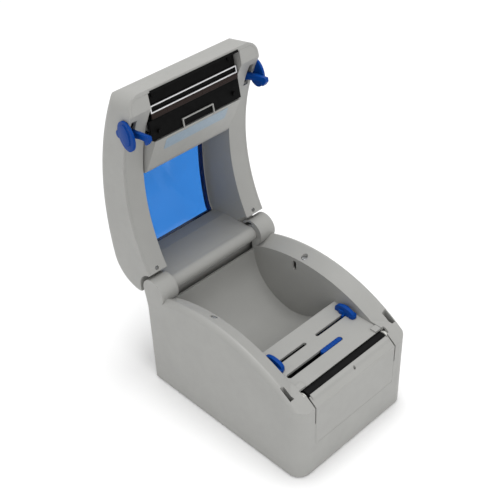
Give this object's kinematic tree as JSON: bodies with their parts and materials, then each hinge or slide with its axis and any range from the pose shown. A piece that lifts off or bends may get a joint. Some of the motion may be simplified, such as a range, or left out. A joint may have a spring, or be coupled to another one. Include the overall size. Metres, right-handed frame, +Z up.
{
  "type": "thermal label printer",
  "caption": "Desktop direct thermal label printer with an arched flip-up lid, blue window and latches, drop-in roll bucket, sliding label guides and platen roller.",
  "frame": {"origin": "under the middle of the open printer's bounding box, on the surface that the feet stand on; the middle of the base is 28.9 mm in front of it", "axes": "+Z up, +X to the operator's right, -Y towards the operator, where the labels come out"},
  "size_m": [0.1642, 0.2648, 0.3332],
  "materials": {
    "casing": "fine textured warm grey moulding",
    "casing_dark": "dark grey moulding",
    "rubber_black": "ground black rubber",
    "rubber_feet": "soft black rubber",
    "steel": "turned steel",
    "steel_zinc": "zinc plated steel",
    "ceramic": "glazed ceramic strip",
    "bush_white": "white acetal",
    "gear_white": "white acetal",
    "brass": "machined brass",
    "blue_plastic": "satin blue moulding",
    "window_blue": "clear blue acrylic",
    "board_green": "solder mask",
    "chip_black": "moulded chip package",
    "capacitor": "sleeved can",
    "connector_steel": "tinned steel shell",
    "black_plastic": "black moulding",
    "black_paint": "black painted steel plate",
    "head_silver": "bright metal frame",
    "motor_black": "black laminations",
    "lens": "translucent light pipe"
  },
  "bodies": {
    "base": {"base_shell": "casing", "bottom_cover": "casing_dark", "front_deck": "casing", "front_panel": "casing", "guide_carrier": "black_plastic", "platen_bearings": "bush_white", "idler_post": "steel", "stepper_motor": "motor_black", "motor_bracket": "steel_zinc", "sensor_tray": "black_plastic", "main_board": "board_green", "processor_chip": "chip_black", "board_capacitors": "capacitor", "data_connectors": "connector_steel", "power_jack": "black_plastic", "connector_plate": "black_plastic", "rubber_feet": "rubber_feet", "case_screws": "steel_zinc", "hinge_pins": "steel"},
    "platen": {"platen_roller": "rubber_black", "platen_shaft": "steel", "platen_gear": "gear_white"},
    "idler": {"idler_gear": "gear_white"},
    "rotor": {"motor_shaft": "steel", "motor_pinion": "brass"},
    "left_guide": {"label_guide_left": "blue_plastic"},
    "right_guide": {"label_guide_right": "blue_plastic"},
    "guide_wheel": {"guide_pinion": "gear_white"},
    "sensor": {"sensor_slider": "blue_plastic", "sensor_board": "board_green"},
    "switch": {"power_switch": "black_plastic"},
    "lid": {"lid_shell": "casing", "lid_frame": "casing", "lid_window": "window_blue", "head_cover": "casing", "head_springs": "steel", "head_guide_pins": "black_paint", "tear_bar": "black_paint", "latch_pins": "steel", "latch_springs": "steel", "status_lens": "lens", "button_board": "board_green", "lid_screws": "steel_zinc"},
    "head": {"head_bracket": "black_paint", "head_heatsink": "black_paint", "print_head": "ceramic", "head_trim": "head_silver"},
    "left_latch": {"latch_lever_left": "blue_plastic"},
    "right_latch": {"latch_lever_right": "blue_plastic"},
    "button": {"feed_button": "blue_plastic"}
  },
  "joints": [
    {"name": "lid_hinge", "type": "hinge", "parent": "base", "child": "lid", "pos_m": [0, 0.06408, 0.122], "axis": [1, 0, 0], "range_deg": [0, 100]},
    {"name": "platen_spin", "type": "hinge", "parent": "base", "child": "platen", "pos_m": [0, -0.11742, 0.0885], "axis": [1, 0, 0], "continuous": true},
    {"name": "idler_spin", "type": "hinge", "parent": "base", "child": "idler", "pos_m": [0.063, -0.10702, 0.07049], "axis": [1, 0, 0], "continuous": true},
    {"name": "rotor_spin", "type": "hinge", "parent": "base", "child": "rotor", "pos_m": [0.05, -0.08817, 0.0617], "axis": [1, 0, 0], "continuous": true},
    {"name": "left_guide_slide", "type": "slide", "parent": "base", "child": "left_guide", "axis": [1, 0, 0], "range_m": [0, 0.034]},
    {"name": "right_guide_slide", "type": "slide", "parent": "base", "child": "right_guide", "axis": [1, 0, 0], "range_m": [-0.034, 0]},
    {"name": "guide_wheel_spin", "type": "hinge", "parent": "base", "child": "guide_wheel", "pos_m": [0, -0.07392, 0.088], "axis": [0, 0, 1], "range_deg": [0, 330]},
    {"name": "sensor_slide", "type": "slide", "parent": "base", "child": "sensor", "axis": [1, 0, 0], "range_m": [-0.045, 0]},
    {"name": "switch_rock", "type": "hinge", "parent": "base", "child": "switch", "pos_m": [0.042, 0.07108, 0.026], "axis": [1, 0, 0], "range_deg": [0, 14]},
    {"name": "head_float", "type": "slide", "parent": "lid", "child": "head", "axis": [0, 0.9848, -0.1736], "range_m": [0, 0.0012], "stiffness_N_per_m": 3000, "springref_m": -0.002, "deforming": ["head_springs"]},
    {"name": "left_latch_pull", "type": "hinge", "parent": "lid", "child": "left_latch", "pos_m": [-0.0717, 0.08607, 0.29278], "axis": [1, 0, 0], "range_deg": [-8, 0], "stiffness_Nm_per_rad": 0.15, "springref_deg": 14.32},
    {"name": "right_latch_pull", "type": "hinge", "parent": "lid", "child": "right_latch", "pos_m": [0.0717, 0.08607, 0.29278], "axis": [1, 0, 0], "range_deg": [-8, 0], "stiffness_Nm_per_rad": 0.15, "springref_deg": 14.32},
    {"name": "feed_press", "type": "slide", "parent": "lid", "child": "button", "axis": [0, -0.9848, 0.1736], "range_m": [0, 0.001], "stiffness_N_per_m": 1500, "springref_m": -0.001}
  ],
  "couplings": [
    {"joint": "idler_spin", "follows": "platen_spin", "ratio": -0.3},
    {"joint": "rotor_spin", "follows": "platen_spin", "ratio": 1},
    {"joint": "right_guide_slide", "follows": "left_guide_slide", "ratio": -1},
    {"joint": "guide_wheel_spin", "follows": "left_guide_slide", "rad_per_m": 166.67}
  ]
}
